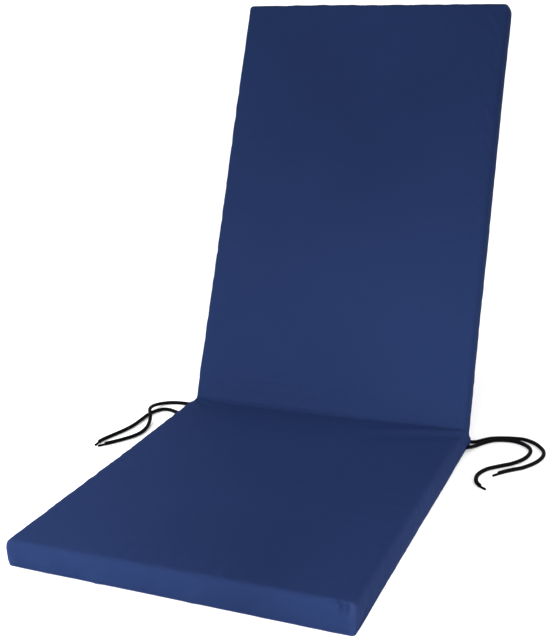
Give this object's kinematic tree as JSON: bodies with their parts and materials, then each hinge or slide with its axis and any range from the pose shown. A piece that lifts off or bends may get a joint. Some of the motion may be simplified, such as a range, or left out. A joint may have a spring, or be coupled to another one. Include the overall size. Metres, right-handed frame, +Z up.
{
  "type": "high back chair cushion",
  "caption": "Padded seat and back cushion in one piece, folded into an L, with cord ties at both ends of the fold to hold it on a chair.",
  "frame": {"origin": "middle of the seat's flat underside, on the surface that the seat lies on", "axes": "+Z up, +Y from the seat's front edge towards the back, +X to the right of someone who stands in front and looks at the cushion"},
  "size_m": [0.6762, 0.8013, 0.6702],
  "materials": {
    "cover": "fine plain woven polyester, matt with a faint sheen",
    "tie_cord": "braided round cord, matt"
  },
  "bodies": {
    "root": {"pad": "cover", "tie_right_outer": "tie_cord", "tie_right_inner": "tie_cord", "tie_left_upper": "tie_cord", "tie_left_lower": "tie_cord"}
  },
  "joints": []
}
